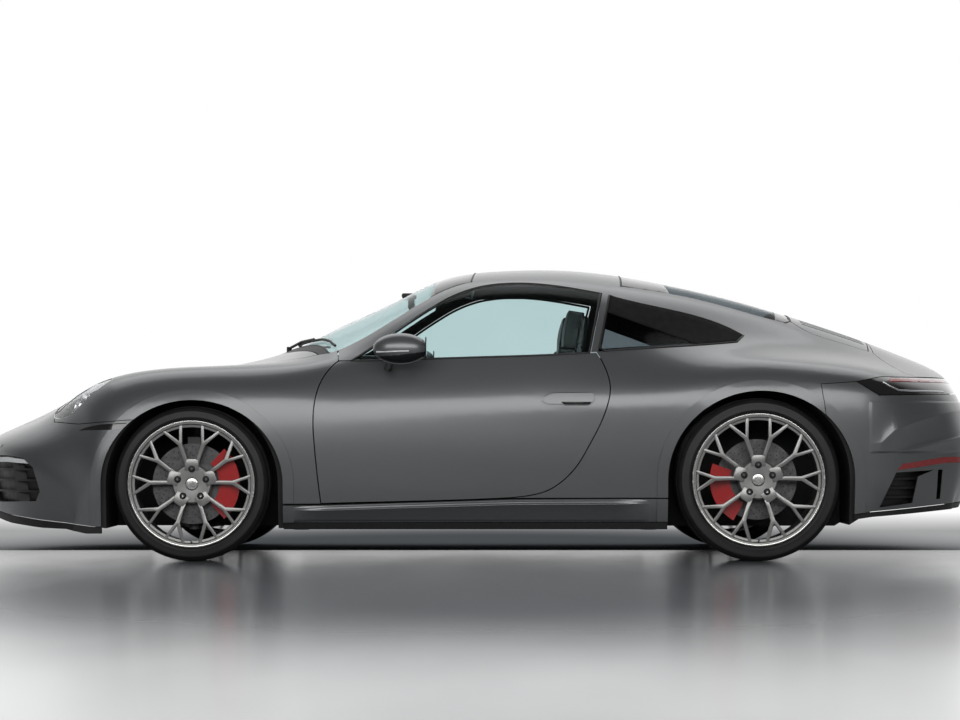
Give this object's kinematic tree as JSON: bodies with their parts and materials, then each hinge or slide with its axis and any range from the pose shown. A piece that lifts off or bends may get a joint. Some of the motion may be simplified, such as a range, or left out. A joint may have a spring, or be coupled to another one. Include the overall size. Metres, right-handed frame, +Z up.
{
  "type": "coupe car",
  "caption": "Two-door rear-engined coupe with a long sloping roofline, flush door handles, thin-spoke wheels, opening doors, lids and steering front wheels",
  "frame": {"origin": "on the ground under the middle of the car's length and width", "axes": "+X to the rear, +Y to the car's right, +Z up; the front faces -X"},
  "size_m": [4.5165, 2.024, 1.3075],
  "materials": {
    "underbody_black": "matte",
    "paint": "metallic gloss",
    "window_glass": "gloss",
    "lamp_red": "gloss",
    "grille_black": "matte",
    "lamp_housing": "gloss",
    "lamp_clear": "gloss",
    "caliper_red": "gloss",
    "arm_metal": "matte",
    "leather_black": "matte",
    "cabin_black": "matte",
    "engine_cast": "rough",
    "pipe_steel": "satin",
    "tyre_rubber": "matte",
    "rim_grey": "satin",
    "disc_steel": "machined"
  },
  "bodies": {
    "body": {"front_structure": "underbody_black", "bulkhead": "underbody_black", "floor_pan": "underbody_black", "rear_structure": "underbody_black", "cowl": "underbody_black", "roof": "paint", "rear_spoiler": "paint", "windscreen": "window_glass", "rear_window": "window_glass", "fender_left": "paint", "fender_right": "paint", "quarter_glass": "window_glass", "side_frame_left": "paint", "side_frame_right": "paint", "sills": "paint", "skirts": "underbody_black", "front_lip": "underbody_black", "rear_diffuser": "underbody_black", "front_bumper": "paint", "tail_light": "lamp_red", "rear_bumper": "paint", "intake_grilles": "grille_black", "day_lamps": "lamp_clear", "side_markers": "lamp_clear", "tail_reflectors": "lamp_red", "headlamps": "lamp_housing", "headlamp_lenses": "lamp_clear", "calipers_rear": "caliper_red", "front_suspension": "arm_metal", "rear_suspension": "arm_metal", "front_seats": "leather_black", "rear_seats": "leather_black", "dashboard": "cabin_black", "steering_wheel": "cabin_black", "engine": "engine_cast", "exhaust": "pipe_steel"},
    "front_lid": {"front_lid": "paint"},
    "engine_lid": {"engine_lid": "paint"},
    "door_left": {"door_left": "paint", "door_glass_left": "window_glass", "mirror_left": "paint"},
    "door_right": {"door_right": "paint", "door_glass_right": "window_glass", "mirror_right": "paint"},
    "steer_left": {"knuckle_left": "arm_metal", "caliper_front_left": "caliper_red"},
    "steer_right": {"knuckle_right": "arm_metal", "caliper_front_right": "caliper_red"},
    "wheel_front_left": {"tyre_front_left": "tyre_rubber", "rim_front_left": "rim_grey", "brake_disc_front_left": "disc_steel"},
    "wheel_front_right": {"tyre_front_right": "tyre_rubber", "rim_front_right": "rim_grey", "brake_disc_front_right": "disc_steel"},
    "wheel_rear_left": {"tyre_rear_left": "tyre_rubber", "rim_rear_left": "rim_grey", "brake_disc_rear_left": "disc_steel"},
    "wheel_rear_right": {"tyre_rear_right": "tyre_rubber", "rim_rear_right": "rim_grey", "brake_disc_rear_right": "disc_steel"}
  },
  "joints": [
    {"name": "steer_left", "type": "hinge", "parent": "body", "child": "steer_left", "pos_m": [-1.2275, -0.7665, 0.335], "axis": [0, 0, 1], "range_deg": [-32, 32]},
    {"name": "steer_right", "type": "hinge", "parent": "body", "child": "steer_right", "pos_m": [-1.2275, 0.7665, 0.335], "axis": [0, 0, 1], "range_deg": [-32, 32]},
    {"name": "wheel_front_left_spin", "type": "hinge", "parent": "steer_left", "child": "wheel_front_left", "pos_m": [-1.2275, -0.7885, 0.335], "axis": [0, 1, 0], "continuous": true},
    {"name": "wheel_front_right_spin", "type": "hinge", "parent": "steer_right", "child": "wheel_front_right", "pos_m": [-1.2275, 0.7885, 0.335], "axis": [0, 1, 0], "continuous": true},
    {"name": "wheel_rear_left_spin", "type": "hinge", "parent": "body", "child": "wheel_rear_left", "pos_m": [1.2225, -0.7645, 0.353], "axis": [0, 1, 0], "continuous": true},
    {"name": "wheel_rear_right_spin", "type": "hinge", "parent": "body", "child": "wheel_rear_right", "pos_m": [1.2225, 0.7645, 0.353], "axis": [0, 1, 0], "continuous": true},
    {"name": "door_left_hinge", "type": "hinge", "parent": "body", "child": "door_left", "pos_m": [-0.7025, -0.893, 0.55], "axis": [0, 0, -1], "range_deg": [0, 65]},
    {"name": "door_right_hinge", "type": "hinge", "parent": "body", "child": "door_right", "pos_m": [-0.7025, 0.893, 0.55], "axis": [0, 0, 1], "range_deg": [0, 65]},
    {"name": "front_lid_hinge", "type": "hinge", "parent": "body", "child": "front_lid", "pos_m": [-0.6525, 0, 0.93], "axis": [0, 1, 0], "range_deg": [0, 60]},
    {"name": "engine_lid_hinge", "type": "hinge", "parent": "body", "child": "engine_lid", "pos_m": [1.4225, 0, 1.11], "axis": [0, -1, 0], "range_deg": [0, 60]}
  ],
  "couplings": [
    {"joint": "steer_right", "follows": "steer_left", "ratio": 1}
  ]
}
